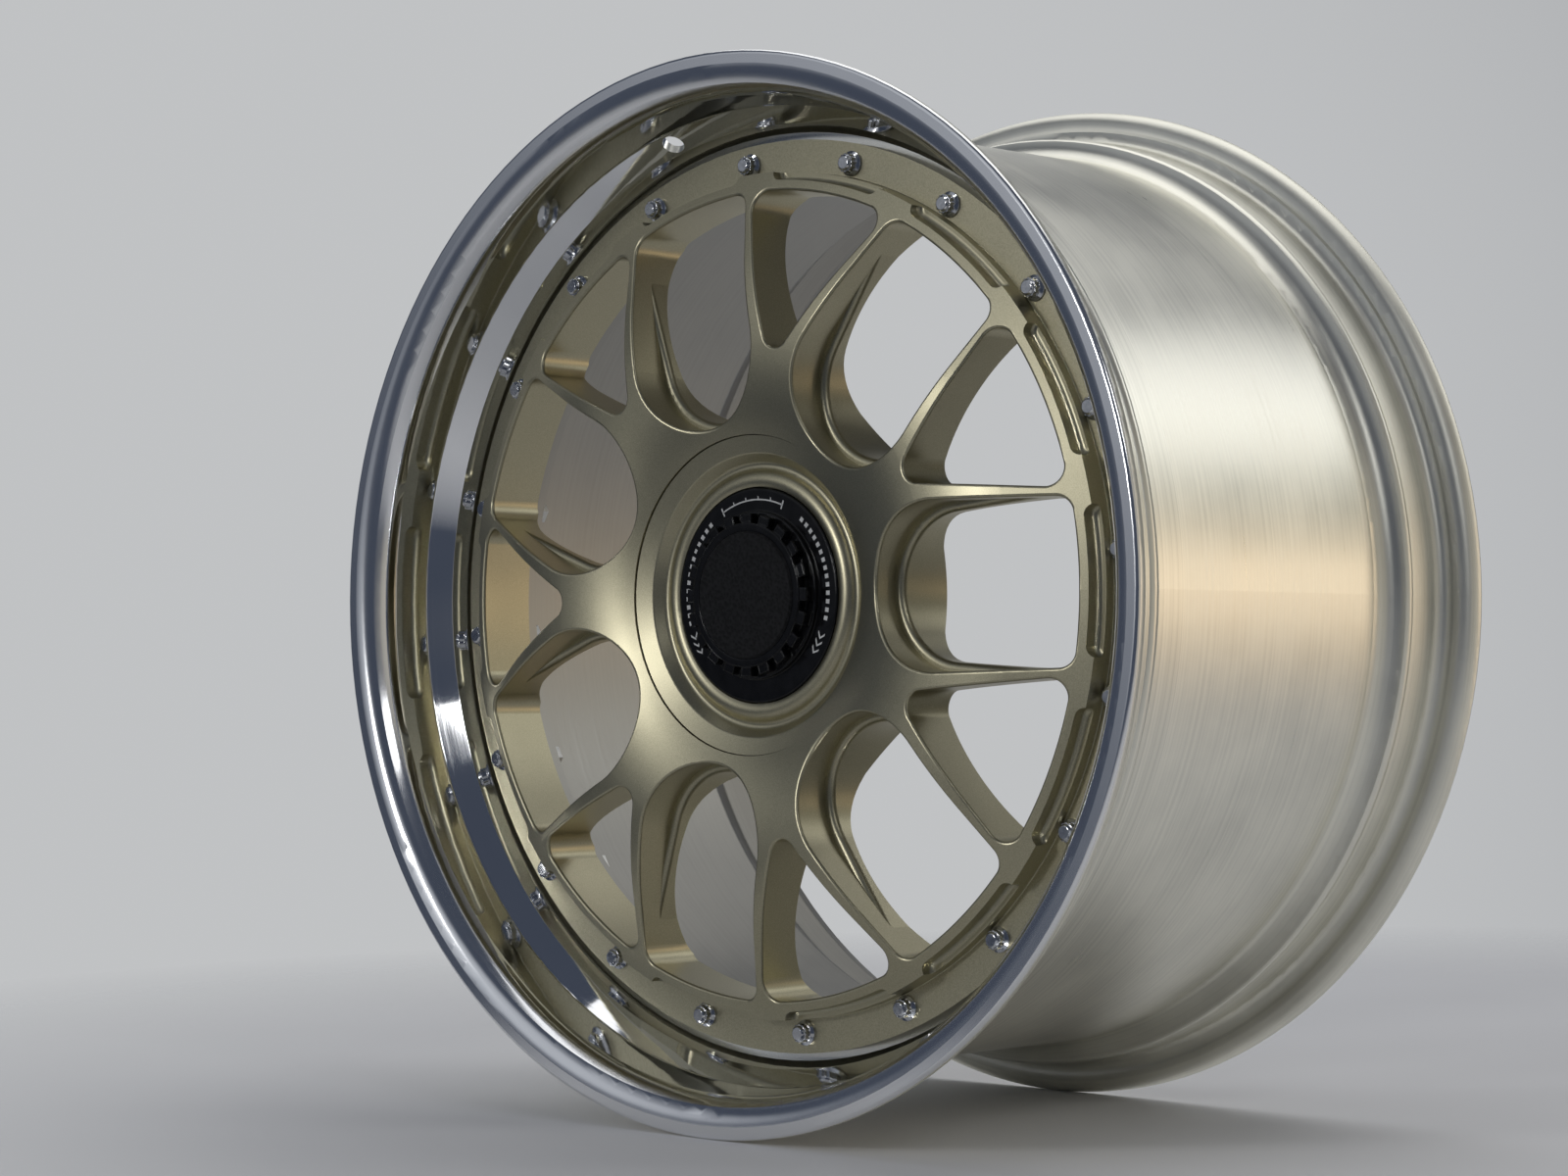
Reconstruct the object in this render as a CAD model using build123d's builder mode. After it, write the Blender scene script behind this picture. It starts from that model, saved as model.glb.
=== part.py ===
"""Three-piece split rim wheel with a Y-spoke centre and a single centre-lock nut.

Frame: origin at the wheel's middle, half way between the two rim edges and on the spin axis.
The wheel spins about Y, its face looks to -Y and +Z is up. Sizes are in millimetres.
Depths are measured along the axis from the front edge of the rim.
"""
import os
from math import atan2, cos, radians, sin, sqrt, tan

from build123d import *

os.makedirs("parts", exist_ok=True)

# rim: 19 inches across the bead seats, 10 inches between the flanges
bead_seat_d = 487.4
rim_width = 254.0
flange_height = 17.5
flange_width = 11.6
flange_curl_r = 9.5
heel_r = 6.5
bead_seat_w = 15.0
bead_seat_slope = 5.0
hump_w = 6.4
hump_h = 1.2
well_drop = 11.3
well_wall = 4.8
edge_break = 2.1
vertex_near = 0.1

# polished lip: roll at the edge, deep wall, a sloping band and a short wall down to the joint
roll_start = 6.4
roll_r = 11.5
roll_turn = 38.0
wall_roll_r = 22.0
lip_corner_in = 4.7
lip_corner_depth = 35.1
band_foot_in = 1.4
band_foot_depth = 46.8
lip_inner_in = 5.0
lip_inner_depth = 54.7
drop_depth = 52.5
lip_fillet = 2.6

# back of the barrel: shallow dish at the rear edge, bed under the bead seat, rise from the barrel
rear_dish_r = 3.4
rear_dish_depth = 2.4
bed_short = 2.0
rise_run = 16.0
well_rise_run = 12.4
barrel_fillet = 5.0

# bolted joint of the two halves and the centre
seat_depth = 53.4
centre_flange_t = 11.8
outer_flange_t = 7.5
inner_flange_t = 8.0
centre_edge_gap = 3.6
bolt_count = 20
bolt_phase = 13.08
bolt_edge = 10.05
bolt_d = 8.0
hole_clearance = 0.4
bolt_flange_d = 12.4
bolt_flange_h = 2.2
bolt_head_d = 9.4
bolt_crown_d = 7.6
bolt_head_h = 7.0
bolt_chamfer = 0.8
washer_gap = 0.1
nut_flange_d = 14.4
nut_flange_h = 2.2
nut_across = 11.5
nut_h = 8.6
thread_gap = 0.03
thread_over = 1.4
seal_edge = 6.3
seal_w = 3.6
seal_t = 2.4
seal_gap = 0.05

# wheel centre
spokes = 7
spoke_phase = 11.75
face_crest_r = 122.0
face_crest = 21.9
face_arc_r = 150.0
face_slope = 17.4
foot_wall = 6.75
ring_t = 9.4
spigot_t = 4.4
spigot_gap = 0.2
spigot_len = 5.8
spigot_lip = 2.0
arm_back_mid = 49.0
arm_back_mid_r = 145.0
arm_back_hub = 66.0
arm_back_hub_r = 98.0
arm_back_fillet = 10.0
window_hub_r = 85.0
window_round_r = 39.9
window_lean = 0.9
window_corner_r = 8.5
ledge_depth = 42.5
ledge_w = 4.6
ledge_lean = 4.4
ledge_round = 3.2
vee_angle = 29.7
vee_vertex = 113.4
vee_tip_r = 8.0
vee_corner_r = 8.5
edge_round = 1.3
pocket_rib = 5.2
pocket_depth = 47.8
pocket_half_angle = 9.65
pocket_corner_r = 5.0
pocket_fillet = 2.6
pocket_over = 6.0
cut_over = 5.0

# hub
hub_recess_r = 78.4
hub_recess_depth = 58.0
hub_face = 31.2
hub_pad_depth = 95.0
hub_pad_r = 72.0
hub_bore_r = 42.0
pin_count = 5
pin_circle_r = 57.0
pin_d = 16.0
pin_depth = 20.0

# seat ring, centre-lock nut and cap
seat_gap = 0.4
seat_sink = 1.2
seat_slope_r = 69.4
seat_slope_depth = 35.8
seat_crown_w = 3.6
seat_crown_drop = 4.2
seat_crown_fillet = 2.0
seat_cove_drop = 3.4
seat_bead_w = 8.2
seat_bead_drop = 2.2
seat_bead_crest_w = 4.6
seat_bead_crest = 0.4
seat_bead_edge = 0.6
lock_disc_r = 52.5
lock_disc_depth = 37.7
lock_disc_t = 7.8
lock_brim_fillet = 0.8
lock_gap = 0.6
lock_step_r = 41.0
lock_step_depth = 35.1
lock_tip_depth = 29.4
cone_top_r = 49.4
cone_end_r = 43.2
tooth_count = 20
tooth_root_r = 35.2
tooth_tip_r = 39.6
tooth_fill = 0.52
tooth_root_bite = 1.0
tooth_drop = 0.5
lock_bore_r = 27.5
cap_r = 31.1
cap_depth = 28.6
cap_seat_depth = 36.0
cap_gap = 0.12
cap_chamfer_w = 1.0
cap_chamfer_h = 0.8

# valve hole in the sloping band of the lip
valve_hole_d = 11.4
valve_angle = -15.0
valve_below_middle = 0.25
valve_cut = 12.0

# places that follow from the sizes above
bead_r = bead_seat_d / 2
flange_r = bead_r + flange_height
well_r = bead_r - well_drop
front = -(rim_width / 2 + flange_width)
lip_corner_r = bead_r - lip_corner_in
band_foot_r = well_r - band_foot_in
lip_inner_r = well_r - lip_inner_in
centre_outer_r = lip_inner_r - centre_edge_gap
bolt_circle_r = centre_outer_r - bolt_edge
foot_r = bolt_circle_r - foot_wall
ring_r = foot_r - ring_t
spigot_r = ring_r + spigot_t
rim_bore_r = spigot_r + spigot_gap
joint_front = seat_depth + centre_flange_t
joint = joint_front + outer_flange_t
spigot_depth = joint_front + spigot_len
joint_back = joint + inner_flange_t
seal_r = well_r - seal_edge - seal_w / 2
step = 360 / spokes
back_depth = -2 * front
cut_end = hub_pad_depth + cut_over


def at(r, depth):
    """Point of a cross-section: radius and depth behind the rim's front edge."""
    return (r, front + depth)


def across(depth):
    """Plane square to the axis at a depth, seen from the face."""
    return Plane((0, front + depth, 0), x_dir=(1, 0, 0), z_dir=(0, -1, 0))


def tyre_side(edge, way):
    """Tyre side of one rim edge: curl, flange, heel, bead seat and hump; gives its last point."""
    inner = edge + way * flange_width
    curl_r = flange_r - flange_curl_r
    heel = inner + way * heel_r
    toe = heel + way * bead_seat_w
    toe_r = bead_r - bead_seat_w * tan(radians(bead_seat_slope))
    end = toe + way * hump_w
    half = sqrt(0.5)
    ThreePointArc(
        at(flange_r, inner - way * flange_curl_r),
        at(curl_r + flange_curl_r * half, inner - way * flange_curl_r * (1 - half)),
        at(curl_r, inner),
    )
    Line(at(curl_r, inner), at(bead_r + heel_r, inner))
    ThreePointArc(
        at(bead_r + heel_r, inner),
        at(bead_r + heel_r * (1 - half), inner + way * heel_r * (1 - half)),
        at(bead_r, heel),
    )
    Line(at(bead_r, heel), at(toe_r, toe))
    ThreePointArc(at(toe_r, toe), at(toe_r + hump_h, toe + way * hump_w / 2), at(toe_r, end))
    return (toe_r, end)


def to_ring(x, z, angle):
    """Where a line from a point, leaning by an angle from straight out, meets the ring."""
    dx = sin(radians(angle))
    dz = cos(radians(angle))
    along = x * dx + z * dz
    reach = -along + sqrt(along**2 - (x**2 + z**2 - ring_r**2))
    return (x + reach * dx, z + reach * dz)


def arch_outline(round_r, lean):
    """Window between two Ys: round at the hub, nearly straight sides, an arc along the ring."""
    middle = window_hub_r + window_round_r
    x = round_r * cos(radians(lean))
    z = middle - round_r * sin(radians(lean))
    end = to_ring(x, z, lean)
    ThreePointArc((-x, z), (0, middle - round_r), (x, z))
    Line((x, z), end)
    ThreePointArc(end, (0, ring_r), (-end[0], end[1]))
    Line((-end[0], end[1]), (-x, z))


# outer half of the rim
roll_top = at(flange_r - roll_start, roll_r)
roll_dir = (cos(radians(roll_turn)), sin(radians(roll_turn)))
roll_end = (roll_top[0] - roll_r * roll_dir[0], roll_top[1] - roll_r * roll_dir[1])
wall_top = (roll_end[0] + wall_roll_r * roll_dir[0], roll_end[1] + wall_roll_r * roll_dir[1])
lip_corner = at(lip_corner_r, lip_corner_depth)
wall_run = sqrt((wall_top[0] - lip_corner[0]) ** 2 + (lip_corner[1] - wall_top[1]) ** 2)
wall_aim = atan2(lip_corner[1] - wall_top[1], wall_top[0] - lip_corner[0])
wall_turn = atan2(sqrt(wall_run**2 - wall_roll_r**2), wall_roll_r) - wall_aim
wall_start = (wall_top[0] - wall_roll_r * cos(wall_turn), wall_top[1] - wall_roll_r * sin(wall_turn))
with BuildPart() as outer_rim_half:
    with BuildSketch(Plane.XY) as outer_section:
        with BuildLine():
            hump_end = tyre_side(0, 1)
            TangentArc(at(flange_r, edge_break), at(flange_r - edge_break, 0), tangent=(0, -1))
            Line(at(flange_r - edge_break, 0), at(flange_r - roll_start, 0))
            TangentArc(at(flange_r - roll_start, 0), roll_end, tangent=(-1, 0))
            TangentArc(roll_end, wall_start, tangent=(-roll_dir[1], roll_dir[0]))
            Polyline(
                wall_start,
                lip_corner,
                at(band_foot_r, band_foot_depth),
                at(lip_inner_r, lip_inner_depth),
                at(lip_inner_r, joint_front),
                at(rim_bore_r, joint_front),
                at(rim_bore_r, joint),
                at(well_r, joint),
                at(well_r, drop_depth),
                at(*hump_end),
            )
        make_face()
        corners = outer_section.vertices().filter_by(
            lambda v: lip_inner_r - vertex_near < v.X < lip_corner_r + vertex_near
            and v.Y < front + (lip_inner_depth + joint_front) / 2
        )
        fillet(corners, lip_fillet)
    revolve(axis=Axis.Y)
    with BuildSketch(across(joint)):
        with PolarLocations(bolt_circle_r, bolt_count, start_angle=90 - bolt_phase):
            Circle((bolt_d + hole_clearance) / 2)
    extrude(amount=outer_flange_t, mode=Mode.SUBTRACT)
    band_in = lip_corner_r - band_foot_r
    band_back = band_foot_depth - lip_corner_depth
    valve_share = 0.5 + valve_below_middle / sqrt(band_in**2 + band_back**2)
    valve_r = lip_corner_r - band_in * valve_share
    valve_y = front + lip_corner_depth + band_back * valve_share
    valve_turn = radians(valve_angle)
    valve_plane = Plane(
        (valve_r * sin(valve_turn), valve_y, valve_r * cos(valve_turn)),
        z_dir=(-band_back * sin(valve_turn), -band_in, -band_back * cos(valve_turn)),
    )
    with BuildSketch(valve_plane):
        Circle(valve_hole_d / 2)
    extrude(amount=valve_cut, both=True, mode=Mode.SUBTRACT)
outer_rim_half.part.label = "outer_rim_half"
export_step(outer_rim_half.part, "parts/outer_rim_half.step")

# inner half of the rim, the barrel
barrel_r = well_r - well_wall
with BuildPart() as inner_rim_half:
    with BuildSketch(Plane.XY) as inner_section:
        with BuildLine():
            rise_end = tyre_side(back_depth, -1)
            TangentArc(
                at(flange_r, back_depth - edge_break),
                at(flange_r - edge_break, back_depth),
                tangent=(0, 1),
            )
            Polyline(
                at(flange_r - edge_break, back_depth),
                at(flange_r - roll_start, back_depth),
                at(lip_corner_r + rear_dish_r, back_depth - flange_width + rear_dish_depth),
                at(lip_corner_r, back_depth - flange_width - heel_r),
                at(lip_corner_r, rise_end[1] + bed_short),
                at(barrel_r, rise_end[1] - rise_run),
                at(barrel_r, joint_back),
                at(rim_bore_r, joint_back),
                at(rim_bore_r, joint),
                at(well_r, joint),
                at(well_r, rise_end[1] - well_rise_run),
            )
            TangentArc(at(well_r, rise_end[1] - well_rise_run), at(*rise_end), tangent=(0, 1))
        make_face()
        soft = inner_section.vertices().filter_by(
            lambda v: barrel_r - vertex_near < v.X < flange_r - roll_start + vertex_near
            and v.Y > front + joint_back - vertex_near
            and (
                v.X < barrel_r + vertex_near
                or abs(v.X - lip_corner_r) < vertex_near
                or v.Y > -front - vertex_near
            )
        )
        fillet(soft, barrel_fillet)
    revolve(axis=Axis.Y)
    with BuildSketch(across(joint_back)):
        with PolarLocations(bolt_circle_r, bolt_count, start_angle=90 - bolt_phase):
            Circle((bolt_d + hole_clearance) / 2)
    extrude(amount=inner_flange_t, mode=Mode.SUBTRACT)
    with BuildSketch(across(joint + seal_t)):
        Circle(seal_r + seal_w / 2)
        Circle(seal_r - seal_w / 2, mode=Mode.SUBTRACT)
    extrude(amount=seal_t, mode=Mode.SUBTRACT)
inner_rim_half.part.label = "inner_rim_half"
export_step(inner_rim_half.part, "parts/inner_rim_half.step")

# seal squeezed in its groove between the two halves
with BuildPart() as rim_seal:
    with BuildSketch(Plane.XY):
        with Locations(at(seal_r, joint + seal_t / 2)):
            Rectangle(seal_w - 2 * seal_gap, seal_t)
    revolve(axis=Axis.Y)
rim_seal.part.label = "rim_seal"
export_step(rim_seal.part, "parts/rim_seal.step")

# window between two Ys, with the ledge left standing in its lower half near the hub
with BuildPart() as ledge:
    with BuildSketch(across(cut_end + cut_over)):
        with Locations((0, (window_hub_r + ring_r) / 2)):
            Rectangle(4 * window_round_r, ring_r)
        with BuildSketch(mode=Mode.SUBTRACT):
            with BuildLine():
                arch_outline(window_round_r - ledge_w, ledge_lean)
            make_face()
    extrude(amount=cut_end + cut_over - ledge_depth)
    top = ledge.faces().sort_by(Axis.Y)[0]
    rims = top.inner_wires()[0].edges()
    fillet(rims.filter_by(lambda e: e.center().Z < ring_r - window_corner_r), ledge_round)
with BuildPart() as arch_window:
    with BuildSketch(across(cut_end)) as arch_sketch:
        with BuildLine():
            arch_outline(window_round_r, -window_lean)
        make_face()
        fillet(arch_sketch.vertices().sort_by(Axis.Y)[-2:], window_corner_r)
    extrude(amount=cut_end)
    add(ledge.part, mode=Mode.SUBTRACT)

# window inside a Y
with BuildPart() as vee_window:
    with BuildSketch(across(cut_end)) as vee_sketch:
        with BuildLine():
            vee_end = to_ring(0, vee_vertex, vee_angle)
            Polyline((-vee_end[0], vee_end[1]), (0, vee_vertex), vee_end)
            ThreePointArc(vee_end, (0, ring_r), (-vee_end[0], vee_end[1]))
        make_face()
        fillet(vee_sketch.vertices().sort_by(Axis.Y)[:1], vee_tip_r)
        fillet(vee_sketch.vertices().sort_by(Axis.Y)[-2:], vee_corner_r)
    extrude(amount=cut_end)

# pocket milled in the outer corner of the ring between two feet
pocket_r = ring_r + pocket_rib
pocket_turn = radians(pocket_half_angle)
with BuildPart() as pocket:
    with BuildSketch(across(pocket_depth)) as pocket_sketch:
        with BuildLine():
            reach = foot_r + pocket_over
            near = (pocket_r * sin(pocket_turn), pocket_r * cos(pocket_turn))
            far = (reach * sin(pocket_turn), reach * cos(pocket_turn))
            ThreePointArc((-near[0], near[1]), (0, pocket_r), near)
            Line(near, far)
            ThreePointArc(far, (0, reach), (-far[0], far[1]))
            Line((-far[0], far[1]), (-near[0], near[1]))
        make_face()
        fillet(pocket_sketch.vertices().sort_by(Axis.Y)[:2], pocket_corner_r)
    extrude(amount=pocket_depth)
    floor = pocket.faces().sort_by(Axis.Y)[-1]
    fillet(floor.edges().filter_by(lambda e: e.center().Z < reach * cos(pocket_turn)), pocket_fillet)

# wheel centre
face_end = face_crest_r + face_arc_r * sin(radians(face_slope))
face_end_depth = face_crest + face_arc_r * (1 - cos(radians(face_slope)))
foot_depth = face_end_depth + (foot_r - face_end) * tan(radians(face_slope))
hub_sag = hub_face - face_crest
hub_arc_r = ((face_crest_r - hub_recess_r) ** 2 + hub_sag**2) / (2 * hub_sag)


def face_depth(r):
    """Depth of the arched face of the centre at a radius."""
    if r < face_crest_r:
        return face_crest + hub_arc_r - sqrt(hub_arc_r**2 - (face_crest_r - r) ** 2)
    if r < face_end:
        return face_crest + face_arc_r - sqrt(face_arc_r**2 - (r - face_crest_r) ** 2)
    return face_end_depth + (r - face_end) * tan(radians(face_slope))


def window_edge(edge):
    """Is this an edge where a window breaks through the face?"""
    ends = [edge @ 0.0, edge @ 0.5, edge @ 1.0]
    radii = [sqrt(p.X**2 + p.Z**2) for p in ends]
    if any(abs(p.Y - front - face_depth(r)) > 0.02 for p, r in zip(ends, radii)):
        return False
    turned = max(radii) - min(radii) < 0.001
    return not turned or abs(radii[0] - ring_r) < 0.001


with BuildPart() as wheel_centre:
    with BuildSketch(Plane.XY) as centre_section:
        with BuildLine():
            TangentArc(at(face_crest_r, face_crest), at(hub_recess_r, hub_face), tangent=(-1, 0))
            TangentArc(at(face_crest_r, face_crest), at(face_end, face_end_depth), tangent=(1, 0))
            Polyline(
                at(face_end, face_end_depth),
                at(foot_r, foot_depth),
                at(foot_r, seat_depth),
                at(centre_outer_r, seat_depth),
                at(centre_outer_r, joint_front),
                at(spigot_r, joint_front),
                at(spigot_r, spigot_depth),
                at(ring_r - spigot_lip, spigot_depth),
            )
            ThreePointArc(
                at(ring_r - spigot_lip, spigot_depth),
                at(arm_back_mid_r, arm_back_mid),
                at(arm_back_hub_r, arm_back_hub),
            )
            Polyline(
                at(arm_back_hub_r, arm_back_hub),
                at(hub_pad_r, hub_pad_depth),
                at(hub_bore_r, hub_pad_depth),
                at(hub_bore_r, hub_recess_depth),
                at(hub_recess_r, hub_recess_depth),
                at(hub_recess_r, hub_face),
            )
        make_face()
        foot_corner = centre_section.vertices().filter_by(
            lambda v: abs(v.X - foot_r) < vertex_near and v.Y > front + seat_depth - vertex_near
        )
        fillet(foot_corner, foot_wall - bolt_flange_d / 2 - washer_gap)
        hub_corner = centre_section.vertices().filter_by(
            lambda v: abs(v.X - arm_back_hub_r) < vertex_near
        )
        fillet(hub_corner, arm_back_fillet)
    revolve(axis=Axis.Y)
    for spoke in range(spokes):
        turn = spoke_phase + spoke * step
        add(vee_window.part, rotation=(0, turn, 0), mode=Mode.SUBTRACT)
        add(arch_window.part, rotation=(0, turn + step / 2, 0), mode=Mode.SUBTRACT)
    fillet(wheel_centre.edges().filter_by(window_edge), edge_round)
    for foot in range(2 * spokes):
        add(pocket.part, rotation=(0, spoke_phase + foot * step / 2, 0), mode=Mode.SUBTRACT)
    with BuildSketch(across(joint_front)):
        with PolarLocations(bolt_circle_r, bolt_count, start_angle=90 - bolt_phase):
            Circle((bolt_d + hole_clearance) / 2)
    extrude(amount=centre_flange_t, mode=Mode.SUBTRACT)
    with BuildSketch(across(hub_pad_depth)):
        with PolarLocations(pin_circle_r, pin_count, start_angle=90):
            Circle(pin_d / 2)
    extrude(amount=pin_depth, mode=Mode.SUBTRACT)
wheel_centre.part.label = "wheel_centre"
export_step(wheel_centre.part, "parts/wheel_centre.step")

# bolt: washer face, twelve-point head with a rounded top, shank through the joint
bolt_end = joint_back + nut_h + thread_over
bolt_top = seat_depth - bolt_head_h
with BuildPart() as bolt:
    with BuildSketch(Plane.XY):
        with BuildLine():
            Polyline(
                at(0, bolt_end),
                at(bolt_d / 2 - bolt_chamfer, bolt_end),
                at(bolt_d / 2, bolt_end - bolt_chamfer),
                at(bolt_d / 2, seat_depth),
                at(bolt_flange_d / 2, seat_depth),
                at(bolt_flange_d / 2, seat_depth - bolt_flange_h / 2),
                at(bolt_head_d / 2, seat_depth - bolt_flange_h),
                at(bolt_crown_d / 2, seat_depth - bolt_flange_h),
                at(bolt_crown_d / 2, bolt_top + bolt_chamfer),
                at(bolt_crown_d / 2 - bolt_chamfer, bolt_top),
                at(0, bolt_top),
                close=True,
            )
        make_face()
    revolve(axis=Axis.Y)
    with BuildSketch(across(seat_depth - bolt_flange_h)):
        RegularPolygon(bolt_head_d / 2, 6)
        RegularPolygon(bolt_head_d / 2, 6, rotation=30)
    extrude(amount=bolt_head_h - bolt_flange_h - 2 * bolt_chamfer)
with BuildPart() as rim_bolts:
    for place in range(bolt_count):
        angle = radians(bolt_phase + place * 360 / bolt_count)
        with Locations((bolt_circle_r * sin(angle), 0, bolt_circle_r * cos(angle))):
            add(bolt.part)
rim_bolts.part.label = "rim_bolts"
export_step(rim_bolts.part, "parts/rim_bolts.step")

# nut behind the joint
with BuildPart() as nut:
    with BuildSketch(across(joint_back + nut_h)):
        RegularPolygon(nut_across / 2, 6, major_radius=False)
    extrude(amount=nut_h)
    with BuildSketch(across(joint_back + nut_flange_h)):
        Circle(nut_flange_d / 2)
    extrude(amount=nut_flange_h)
    with BuildSketch(across(joint_back + nut_h)):
        Circle(bolt_d / 2 + thread_gap)
    extrude(amount=nut_h, mode=Mode.SUBTRACT)
with BuildPart() as rim_nuts:
    for place in range(bolt_count):
        angle = radians(bolt_phase + place * 360 / bolt_count)
        with Locations((bolt_circle_r * sin(angle), 0, bolt_circle_r * cos(angle))):
            add(nut.part)
rim_nuts.part.label = "rim_nuts"
export_step(rim_nuts.part, "parts/rim_nuts.step")

# ring let into the hub, with the cone that the nut pulls on
seat_r = hub_recess_r - seat_gap
disc_back = lock_disc_depth + lock_disc_t
cone_end = hub_recess_depth
inner_edge_r = lock_disc_r + lock_gap
inner_edge = at(inner_edge_r, lock_disc_depth + seat_bead_edge)
crown_foot_r = seat_slope_r - seat_crown_w
crown_foot = at(crown_foot_r, seat_slope_depth + seat_crown_drop)
cove_r = inner_edge_r + seat_bead_w
cove_end = at(cove_r, lock_disc_depth + seat_bead_drop)
with BuildPart() as hub_seat_ring:
    with BuildSketch(Plane.XY) as seat_section:
        with BuildLine():
            Polyline(
                inner_edge,
                at(inner_edge_r, disc_back),
                at(cone_top_r, disc_back),
                at(cone_end_r, cone_end),
                at(seat_r, cone_end),
                at(seat_r, hub_face + seat_sink),
                at(seat_slope_r, seat_slope_depth),
                crown_foot,
            )
            cove_low = at((crown_foot_r + cove_r) / 2, lock_disc_depth + seat_cove_drop)
            ThreePointArc(crown_foot, cove_low, cove_end)
            bead_top = at(inner_edge_r + seat_bead_crest_w, lock_disc_depth - seat_bead_crest)
            ThreePointArc(cove_end, bead_top, inner_edge)
        make_face()
        crown = seat_section.vertices().filter_by(
            lambda v: abs(v.X - seat_slope_r) < vertex_near
        )
        fillet(crown, seat_crown_fillet)
    revolve(axis=Axis.Y)
hub_seat_ring.part.label = "hub_seat_ring"
export_step(hub_seat_ring.part, "parts/hub_seat_ring.step")

# centre-lock nut
with BuildPart() as centre_lock_nut:
    with BuildSketch(Plane.XY) as lock_section:
        with BuildLine():
            Polyline(
                at(lock_bore_r, cone_end),
                at(lock_bore_r, cap_seat_depth),
                at(cap_r + cap_gap, cap_seat_depth),
                at(cap_r + cap_gap, lock_tip_depth),
                at(tooth_root_r, lock_tip_depth),
                at(tooth_root_r, lock_step_depth),
                at(lock_step_r, lock_step_depth),
                at(lock_step_r, lock_disc_depth),
                at(lock_disc_r, lock_disc_depth),
                at(lock_disc_r, disc_back),
                at(cone_top_r, disc_back),
                at(cone_end_r, cone_end),
                close=True,
            )
        make_face()
        brim = lock_section.vertices().filter_by(
            lambda v: v.Y < front + lock_disc_depth + vertex_near and v.X > lock_disc_r - vertex_near
        )
        fillet(brim, lock_brim_fillet)
    revolve(axis=Axis.Y)
    with BuildSketch(across(lock_step_depth)) as teeth:
        tooth_w = 2 * tooth_tip_r * sin(radians(180 / tooth_count)) * tooth_fill
        with PolarLocations((tooth_root_r - tooth_root_bite + tooth_tip_r) / 2, tooth_count):
            Rectangle(tooth_tip_r - tooth_root_r + tooth_root_bite, tooth_w)
    extrude(amount=lock_step_depth - lock_tip_depth - tooth_drop)
centre_lock_nut.part.label = "centre_lock_nut"
export_step(centre_lock_nut.part, "parts/centre_lock_nut.step")

# cap in the front of the nut
with BuildPart() as nut_cap:
    with BuildSketch(Plane.XY):
        with BuildLine():
            Polyline(
                at(0, cap_depth),
                at(cap_r - cap_chamfer_w, cap_depth),
                at(cap_r, cap_depth + cap_chamfer_h),
                at(cap_r, cap_seat_depth),
                at(0, cap_seat_depth),
                close=True,
            )
        make_face()
    revolve(axis=Axis.Y)
nut_cap.part.label = "nut_cap"
export_step(nut_cap.part, "parts/nut_cap.step")
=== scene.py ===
from math import cos, radians, sin

import bpy
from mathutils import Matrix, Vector


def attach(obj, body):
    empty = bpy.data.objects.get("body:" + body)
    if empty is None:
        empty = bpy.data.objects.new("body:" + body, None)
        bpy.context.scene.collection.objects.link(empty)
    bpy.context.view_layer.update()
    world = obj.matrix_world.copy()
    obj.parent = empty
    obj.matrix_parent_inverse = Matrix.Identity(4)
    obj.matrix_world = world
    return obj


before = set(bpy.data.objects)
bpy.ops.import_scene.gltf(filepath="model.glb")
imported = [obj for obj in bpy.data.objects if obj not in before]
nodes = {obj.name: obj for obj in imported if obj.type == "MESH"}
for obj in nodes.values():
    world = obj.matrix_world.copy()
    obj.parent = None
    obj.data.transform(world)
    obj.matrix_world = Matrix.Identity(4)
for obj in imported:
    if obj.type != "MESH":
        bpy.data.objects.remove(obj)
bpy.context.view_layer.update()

scene = bpy.context.scene
MM = 0.001
MICRON = 0.000001

# sizes of the wheel that the scene needs, in metres
front_y = -138.6 * MM
rim_r = 261.2 * MM
disc_y = front_y + 37.7 * MM

# most values of a noise pattern lie between these two
pattern_low = 0.3
pattern_high = 0.7

# part of the radius that counts, beside the depth, in a lathe line's place
lathe_lean = 0.35

# how far lathe lines stretch the sheen of a turned surface
turned_stretch = 0.55

# rays that look for an edge to soften
edge_samples = 6

# colours: the two ends that each finish wanders between
mirror_colours = ((0.86, 0.87, 0.885), (0.91, 0.915, 0.92))
turned_colours = ((0.70, 0.690, 0.615), (0.87, 0.857, 0.765))
# darker pair: painted shade for the barrel's inner faces, not a different finish
inside_shade_colours = ((0.31, 0.304, 0.280), (0.36, 0.352, 0.325))
gold_colours = ((0.37, 0.342, 0.236), (0.52, 0.483, 0.338))
bolt_colours = ((0.56, 0.565, 0.57), (0.72, 0.725, 0.73))
zinc_colours = ((0.50, 0.50, 0.48), (0.66, 0.65, 0.61))
rubber_colours = ((0.014, 0.014, 0.014), (0.034, 0.033, 0.032))
nut_colours = ((0.003, 0.003, 0.003), (0.008, 0.008, 0.009))
cap_colours = ((0.001, 0.001, 0.001), (0.012, 0.012, 0.013))
print_colours = ((0.62, 0.62, 0.60), (0.80, 0.80, 0.78))
floor_colours = ((0.80, 0.80, 0.81), (0.82, 0.82, 0.83))


# shader helpers
def new_material(name, metallic=0.0):
    """Material with its node tree and its main shader."""
    made = bpy.data.materials.new(name)
    made.use_nodes = True
    tree = made.node_tree
    shader = tree.nodes["Principled BSDF"]
    shader.inputs["Metallic"].default_value = metallic
    return made, tree, shader


def add(tree, kind, settings=None, **inputs):
    """New shader node with its settings and its unlinked inputs."""
    made = tree.nodes.new(kind)
    for key, value in (settings or {}).items():
        setattr(made, key, value)
    for key, value in inputs.items():
        made.inputs[key].default_value = value
    return made


def object_place(tree):
    return add(tree, "ShaderNodeTexCoord").outputs["Object"]


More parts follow.
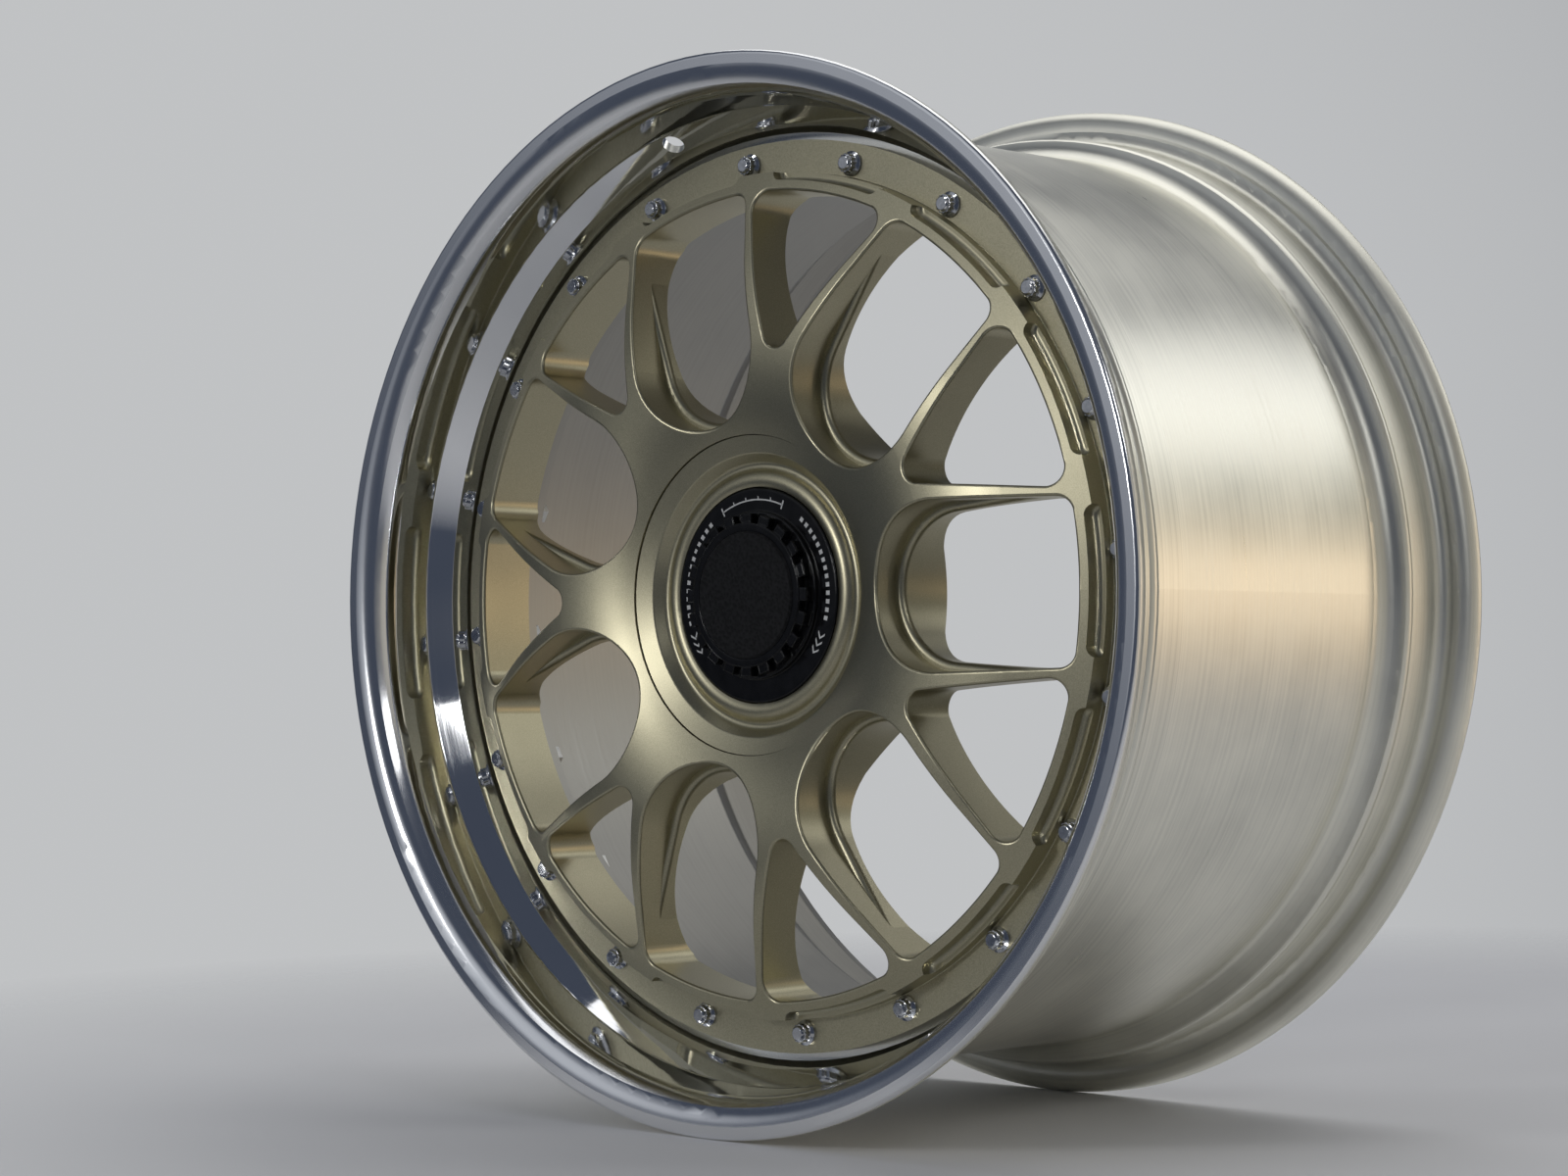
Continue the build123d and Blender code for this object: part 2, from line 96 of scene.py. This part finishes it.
def noise(tree, scale, detail):
    """Clouds of noise, smaller with a higher scale."""
    made = add(tree, "ShaderNodeTexNoise", Scale=scale, Detail=detail)
    tree.links.new(object_place(tree), made.inputs["Vector"])
    return made.outputs[0]


def lathe_lines(tree, scale, detail):
    """Noise that only changes with radius and depth, so that its lines run round the wheel."""
    split = add(tree, "ShaderNodeSeparateXYZ")
    tree.links.new(object_place(tree), split.inputs[0])
    flat = add(tree, "ShaderNodeCombineXYZ")
    tree.links.new(split.outputs["X"], flat.inputs["X"])
    tree.links.new(split.outputs["Z"], flat.inputs["Y"])
    radius = add(tree, "ShaderNodeVectorMath", {"operation": "LENGTH"})
    tree.links.new(flat.outputs[0], radius.inputs[0])
    place = add(tree, "ShaderNodeMath", {"operation": "MULTIPLY_ADD"})
    place.inputs[1].default_value = lathe_lean
    tree.links.new(radius.outputs["Value"], place.inputs[0])
    tree.links.new(split.outputs["Y"], place.inputs[2])
    made = add(tree, "ShaderNodeTexNoise", {"noise_dimensions": "1D"}, Scale=scale, Detail=detail)
    tree.links.new(place.outputs[0], made.inputs["W"])
    return made.outputs[0]


def spread(tree, value, low, high, start=pattern_low, end=pattern_high):
    """Value that goes from low to high while another goes from start to end."""
    made = add(tree, "ShaderNodeMapRange")
    for socket, number in zip(made.inputs[1:5], (start, end, low, high)):
        socket.default_value = number
    tree.links.new(value, made.inputs[0])
    return made.outputs[0]


def share_between(tree, value, start, end):
    """Share that goes from 0 to 1 while a value goes from start to end."""
    return spread(tree, value, 0.0, 1.0, start, end)


def by_share(tree, share, low, high):
    """Value that goes from low to high while a share goes from 0 to 1."""
    return spread(tree, share, low, high, 0.0, 1.0)


def depth_between(tree, start, end):
    """Share from 0 to 1 between two depths behind the lip's front plane, in millimetres."""
    split = add(tree, "ShaderNodeSeparateXYZ")
    tree.links.new(object_place(tree), split.inputs[0])
    return share_between(tree, split.outputs["Y"], front_y + start * MM, front_y + end * MM)


def combine(tree, operation, first, second):
    made = add(tree, "ShaderNodeMath", {"operation": operation})
    tree.links.new(first, made.inputs[0])
    tree.links.new(second, made.inputs[1])
    return made.outputs[0]


def total(tree, first, *others):
    """Sum of some values."""
    for other in others:
        first = combine(tree, "ADD", first, other)
    return first


def blend_colours(tree, share, first, second):
    """Two colours, each a socket or a plain colour, mixed by a share."""
    made = add(tree, "ShaderNodeMix", {"data_type": "RGBA"})
    tree.links.new(share, made.inputs[0])
    for socket, colour in ((made.inputs[6], first), (made.inputs[7], second)):
        if isinstance(colour, tuple):
            socket.default_value = (*colour, 1)
        else:
            tree.links.new(colour, socket)
    return made.outputs[2]


def wander(tree, value, colours):
    """Colour that wanders between two colours with a pattern."""
    made = add(tree, "ShaderNodeValToRGB")
    stops = zip(made.color_ramp.elements, (pattern_low, pattern_high), colours)
    for stop, place, colour in stops:
        stop.position = place
        stop.color = (*colour, 1)
    tree.links.new(value, made.inputs[0])
    return made.outputs[0]


def tint(tree, shader, value, colours):
    tree.links.new(wander(tree, value, colours), shader.inputs["Base Color"])


def roughen(tree, shader, *values):
    """Roughness as the sum of some values."""
    tree.links.new(total(tree, *values), shader.inputs["Roughness"])


def facing_out(tree):
    """How far a surface looks away from the wheel's axis: 1 outside the barrel, -1 inside it."""
    flat = add(tree, "ShaderNodeVectorMath", {"operation": "MULTIPLY"})
    flat.inputs[1].default_value = (1, 0, 1)
    tree.links.new(object_place(tree), flat.inputs[0])
    away = add(tree, "ShaderNodeVectorMath", {"operation": "NORMALIZE"})
    tree.links.new(flat.outputs[0], away.inputs[0])
    dot = add(tree, "ShaderNodeVectorMath", {"operation": "DOT_PRODUCT"})
    tree.links.new(away.outputs[0], dot.inputs[0])
    tree.links.new(add(tree, "ShaderNodeTexCoord").outputs["Normal"], dot.inputs[1])
    return dot.outputs["Value"]


def relief(tree, shader, value, height):
    """Bumps that follow a pattern."""
    made = add(tree, "ShaderNodeBump", Strength=1.0, Distance=height)
    tree.links.new(value, made.inputs["Height"])
    tree.links.new(made.outputs[0], shader.inputs["Normal"])


def soften_edges(tree, shader, radius):
    """Edges rounded in the shading only, so that they catch the light."""
    made = add(tree, "ShaderNodeBevel", {"samples": edge_samples}, Radius=radius)
    tree.links.new(made.outputs[0], shader.inputs["Normal"])


def turn_grain(tree, shader):
    """Sheen stretched by lathe lines that run round the wheel."""
    way = add(tree, "ShaderNodeTangent", {"direction_type": "RADIAL", "axis": "Y"})
    tree.links.new(way.outputs[0], shader.inputs["Tangent"])


# materials
def polished_aluminium():
    """Lip: mirror polish with faint lines and hazy wipes, softer on the roll at the front.

    The tyre side is left as turned.
    """
    made, tree, shader = new_material("polished_aluminium", metallic=1.0)
    turn_grain(tree, shader)
    lines = lathe_lines(tree, scale=520, detail=2.0)
    wipes = noise(tree, scale=16, detail=4.0)
    outside = share_between(tree, facing_out(tree), -0.15, 0.05)
    tyre_side = combine(tree, "MULTIPLY", outside, depth_between(tree, 0.8, 3))
    behind_roll = depth_between(tree, 6, 12)
    mirror = wander(tree, wipes, mirror_colours)
    turned = wander(tree, lines, turned_colours)
    tree.links.new(blend_colours(tree, tyre_side, mirror, turned), shader.inputs["Base Color"])
    roughen(
        tree,
        shader,
        spread(tree, lines, 0.02, 0.05),
        spread(tree, wipes, 0.01, 0.035, start=0.45, end=0.75),
        by_share(tree, behind_roll, 0.11, 0.0),
        by_share(tree, tyre_side, 0.0, 0.27),
    )
    tree.links.new(by_share(tree, tyre_side, 0.0, turned_stretch), shader.inputs["Anisotropic"])
    relief(tree, shader, lines, 4 * MICRON)
    return made


def turned_aluminium():
    """Barrel: fine lathe lines, rings and handling marks, rougher inside and at the rear edge, with
    painted shade darkening the faces inside the barrel.
    """
    made, tree, shader = new_material("turned_aluminium", metallic=1.0)
    shader.inputs["Anisotropic"].default_value = turned_stretch
    turn_grain(tree, shader)
    lines = lathe_lines(tree, scale=1400, detail=3.0)
    rings = lathe_lines(tree, scale=420, detail=3.0)
    marks = noise(tree, scale=22, detail=5.0)
    pattern = total(tree, spread(tree, rings, 0.2, 0.42), spread(tree, marks, 0.1, 0.4))
    outside = share_between(tree, facing_out(tree), -0.25, 0.05)
    rear_edge = depth_between(tree, 215, 250)
    bright = wander(tree, pattern, turned_colours)
    # painted shade: faces that look towards the axis, inside the barrel, take the darker colour
    inside_shade = wander(tree, pattern, inside_shade_colours)
    tree.links.new(blend_colours(tree, outside, inside_shade, bright), shader.inputs["Base Color"])
    roughen(
        tree,
        shader,
        spread(tree, rings, 0.27, 0.32),
        spread(tree, marks, 0.0, 0.06),
        by_share(tree, outside, 0.08, 0.0),
        by_share(tree, rear_edge, 0.0, 0.12),
    )
    relief(tree, shader, lines, 2 * MICRON)
    return made


def gold_satin():
    """Wheel centre: champagne gold satin coat with a fine metallic grain."""
    made, tree, shader = new_material("gold_satin", metallic=1.0)
    grain = noise(tree, scale=2400, detail=2.0)
    cloud = noise(tree, scale=30, detail=3.0)
    tint(tree, shader, grain, gold_colours)
    roughen(tree, shader, spread(tree, grain, 0.33, 0.39), spread(tree, cloud, 0.0, 0.03))
    relief(tree, shader, grain, 9 * MICRON)
    return made


def bright_steel():
    """Bolts: bright plating with small specks."""
    made, tree, shader = new_material("bright_steel", metallic=1.0)
    speck = noise(tree, scale=500, detail=3.0)
    tint(tree, shader, speck, bolt_colours)
    roughen(tree, shader, spread(tree, speck, 0.08, 0.16))
    soften_edges(tree, shader, 0.5 * MM)
    return made


def zinc_steel():
    """Nuts on the bolts: dull zinc plating."""
    made, tree, shader = new_material("zinc_steel", metallic=1.0)
    speck = noise(tree, scale=380, detail=4.0)
    tint(tree, shader, speck, zinc_colours)
    roughen(tree, shader, spread(tree, speck, 0.25, 0.40))
    return made


def seal_rubber():
    """Seal: matt rubber with a pale bloom."""
    made, tree, shader = new_material("seal_rubber")
    bloom = noise(tree, scale=260, detail=4.0)
    tint(tree, shader, bloom, rubber_colours)
    roughen(tree, shader, spread(tree, bloom, 0.55, 0.75))
    relief(tree, shader, bloom, 20 * MICRON)
    return made


def black_anodised():
    """Centre-lock nut: glossy black coat with a trace of wear in the gloss."""
    made, tree, shader = new_material("black_anodised")
    shader.inputs["Specular IOR Level"].default_value = 0.3
    wear = noise(tree, scale=150, detail=5.0)
    tint(tree, shader, wear, nut_colours)
    roughen(tree, shader, spread(tree, wear, 0.09, 0.16))
    soften_edges(tree, shader, 1.5 * MM)
    return made


def black_plastic():
    """Cap: fine moulded grain of one to two millimetres."""
    made, tree, shader = new_material("black_plastic")
    shader.inputs["Specular IOR Level"].default_value = 0.22
    cells = add(tree, "ShaderNodeTexVoronoi", {"feature": "SMOOTH_F1"}, Scale=620.0)
    tree.links.new(object_place(tree), cells.inputs["Vector"])
    grain = cells.outputs["Distance"]
    tint(tree, shader, grain, cap_colours)
    roughen(tree, shader, spread(tree, grain, 0.5, 0.7))
    relief(tree, shader, grain, 150 * MICRON)
    return made


def white_print():
    """Marks on the nut: white print, a little worn."""
    made, tree, shader = new_material("white_print")
    wear = noise(tree, scale=600, detail=4.0)
    tint(tree, shader, wear, print_colours)
    roughen(tree, shader, spread(tree, wear, 0.40, 0.55))
    return made


gold = gold_satin()
looks = {
    "outer_rim_half": polished_aluminium(),
    "inner_rim_half": turned_aluminium(),
    "wheel_centre": gold,
    "hub_seat_ring": gold,
    "rim_bolts": bright_steel(),
    "rim_nuts": zinc_steel(),
    "rim_seal": seal_rubber(),
    "centre_lock_nut": black_anodised(),
    "nut_cap": black_plastic(),
}
for name, node in nodes.items():
    node.data.materials.clear()
    node.data.materials.append(looks[name])

# printed marks on the nut's disc: a scale at the top, dashes and arrow heads at the sides, no words
# radii are in millimetres, inner then outer; angles are in degrees from the top towards +X
scale_radii = (46.4, 47.1)
scale_ends = (-29, 21)
end_bar_radii = (44.6, 49.0)
end_bar_half = 0.5
scale_steps = (-19, -9, 1, 11)
step_bar_radii = (47.1, 48.4)
step_bar_half = 0.35
dash_radii = (45.6, 47.8)
dash_length = 2.6
dash_pitch = 5
dash_count = 14
arrow_radii = (44.4, 48.8)
arrow_reach = 3.2
arrow_width = 1.5
arc_step = 2
mark_half = 0.10 * MM

# for each side: which way its arrows turn, its first dash and its arrows
mark_sides = (
    (1, 38, (113, 118, 123)),
    (-1, 252, (247, 242, 237)),
)


def on_disc(r, angle):
    return (r * MM * sin(radians(angle)), r * MM * cos(radians(angle)))


def arc_bar(radii, start, end):
    """Outline of a bar that follows the disc between two angles."""
    inner, outer = radii
    steps = max(1, round(abs(end - start) / arc_step))
    turns = [start + (end - start) * i / steps for i in range(steps + 1)]
    return [on_disc(outer, t) for t in turns] + [on_disc(inner, t) for t in reversed(turns)]


def arrow_head(angle, way):
    """Outline of an open arrow head that points along the disc, 1 or -1 way round."""
    inner, outer = arrow_radii
    middle = (inner + outer) / 2
    tip = angle + way * arrow_reach
    width = way * arrow_width
    return [
        on_disc(outer, angle),
        on_disc(middle, tip),
        on_disc(inner, angle),
        on_disc(inner, angle + width),
        on_disc(middle, tip + width),
        on_disc(outer, angle + width),
    ]


marks = [arc_bar(scale_radii, *scale_ends)]
marks += [arc_bar(end_bar_radii, a - end_bar_half, a + end_bar_half) for a in scale_ends]
marks += [arc_bar(step_bar_radii, a - step_bar_half, a + step_bar_half) for a in scale_steps]
for way, first_dash, arrows in mark_sides:
    dashes = [first_dash + dash_pitch * i for i in range(dash_count)]
    marks += [arc_bar(dash_radii, a, a + dash_length) for a in dashes]
    marks += [arrow_head(a, way) for a in arrows]

# each mark is a thin prism, half sunk in the disc
verts = []
faces = []
for outline in marks:
    base = len(verts)
    count = len(outline)
    verts += [(x, disc_y - mark_half, z) for x, z in outline]
    verts += [(x, disc_y + mark_half, z) for x, z in outline]
    faces.append(tuple(range(base, base + count)))
    faces.append(tuple(range(base + 2 * count - 1, base + count - 1, -1)))
    for i in range(count):
        j = (i + 1) % count
        faces.append((base + i, base + count + i, base + count + j, base + j))
mesh = bpy.data.meshes.new("nut_marks")
mesh.from_pydata(verts, [], faces)
mesh.materials.append(white_print())
nut_marks = bpy.data.objects.new("nut_marks", mesh)
scene.collection.objects.link(nut_marks)
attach(nut_marks, "root")

# pale floor under the wheel, which fades out with distance from a point on it, in metres
floor_r = 5
floor_sides = 96
floor_middle = (0.25, 0.35, 0)
fade_start = 0.75
fade_end = 1.25


def fading_floor():
    made, tree, shader = new_material("floor")
    shader.inputs["Roughness"].default_value = 0.7
    shader.inputs["Specular IOR Level"].default_value = 0.1
    tint(tree, shader, noise(tree, scale=3, detail=2.0), floor_colours)
    distance = add(tree, "ShaderNodeVectorMath", {"operation": "DISTANCE"})
    distance.inputs[1].default_value = floor_middle
    tree.links.new(object_place(tree), distance.inputs[0])
    faded = share_between(tree, distance.outputs["Value"], fade_start, fade_end)
    clear = add(tree, "ShaderNodeBsdfTransparent")
    blend = add(tree, "ShaderNodeMixShader")
    tree.links.new(faded, blend.inputs[0])
    tree.links.new(shader.outputs[0], blend.inputs[1])
    tree.links.new(clear.outputs[0], blend.inputs[2])
    tree.links.new(blend.outputs[0], tree.nodes["Material Output"].inputs["Surface"])
    return made


bpy.ops.mesh.primitive_circle_add(
    vertices=floor_sides, radius=floor_r, fill_type="NGON", location=(0, 0, -rim_r)
)
floor = bpy.context.object
floor.name = "floor"
floor.data.materials.append(fading_floor())

# studio: a dark bluish room with paler parts
# each part has a direction, the cosines between which it fades in, and a colour
room = (0.050, 0.060, 0.085)
paler_parts = {
    "sweep behind the wheel": ((-0.80, 0.60, 0), 0.70, 0.98, (0.53, 0.54, 0.55)),
    "ceiling": ((0, 0.40, 0.917), 0.86, 0.97, (0.32, 0.32, 0.32)),
    "ground": ((0, 0, -1), 0.35, 0.85, (0.15, 0.155, 0.165)),
    "right wall": ((0.98, 0.14, 0.10), 0.80, 0.97, (0.40, 0.38, 0.34)),
    "back right wall": ((0.60, 0.78, 0.18), 0.88, 0.985, (0.38, 0.39, 0.36)),
    "warm foot of that wall": ((0.68, 0.725, -0.10), 0.93, 0.99, (0.64, 0.51, 0.38)),
    "front left wall": ((-0.34, -0.83, 0.44), 0.80, 0.98, (0.42, 0.44, 0.48)),
}


def toward(tree, gaze, direction, start, end):
    """Share from 0 to 1 as the gaze turns towards a direction."""
    dot = add(tree, "ShaderNodeVectorMath", {"operation": "DOT_PRODUCT"})
    dot.inputs[1].default_value = direction
    tree.links.new(gaze, dot.inputs[0])
    made = add(tree, "ShaderNodeMapRange", {"interpolation_type": "SMOOTHSTEP"})
    made.inputs[1].default_value = start
    made.inputs[2].default_value = end
    tree.links.new(dot.outputs["Value"], made.inputs[0])
    return made.outputs[0]


scene.view_settings.view_transform = "Standard"
world = bpy.data.worlds.new("studio")
scene.world = world
world.use_nodes = True
sky = world.node_tree
gaze = add(sky, "ShaderNodeTexCoord").outputs["Generated"]
colour = room
for direction, start, end, paler in paler_parts.values():
    colour = blend_colours(sky, toward(sky, gaze, direction, start, end), colour, paler)
sky.links.new(colour, sky.nodes["Background"].inputs["Color"])

# soft lamps, in metres and watts
wheel_middle = (0, 0, 0)
barrel_middle = (0, 0.05, 0)
white = (1, 1, 1)
warm = (1.0, 0.81, 0.60)


def lamp(name, place, target, size, power, tone=white):
    """Flat lamp of a width and a height that looks at a target."""
    data = bpy.data.lights.new(name, "AREA")
    data.shape = "RECTANGLE"
    data.size, data.size_y = size
    data.energy = power
    data.color = tone
    light = bpy.data.objects.new(name, data)
    light.location = place
    light.rotation_euler = (Vector(target) - Vector(place)).to_track_quat("-Z", "Y").to_euler()
    scene.collection.objects.link(light)


lamp("overhead", (-0.3, 0.76, 2.4), wheel_middle, (3.0, 2.45), 25.5)
lamp("front_key", (-0.42, -2.11, 0.46), wheel_middle, (0.32, 0.32), 7.2)
lamp("right_upper", (1.58, -0.82, 0.93), wheel_middle, (0.42, 0.42), 2.0)
lamp("back_right", (1.05, 1.62, 1.08), barrel_middle, (1.0, 0.72), 2.9)
lamp("warm_side", (1.5, 1.6, 0.10), barrel_middle, (0.9, 0.28), 1.2, warm)

# camera at the photograph's angle
image_width_px = 1600
focal_px = 3715
sensor_width_mm = 36
camera_place = (1.2154, -1.3970, -0.0350)
camera_aim = (-0.67843, 0.73435, 0.02168)
view = bpy.data.cameras.new("camera")
view.sensor_fit = "HORIZONTAL"
view.sensor_width = sensor_width_mm
view.lens = sensor_width_mm * focal_px / image_width_px
camera = bpy.data.objects.new("camera", view)
camera.location = camera_place
camera.rotation_euler = Vector(camera_aim).to_track_quat("-Z", "Y").to_euler()
scene.collection.objects.link(camera)
scene.camera = camera
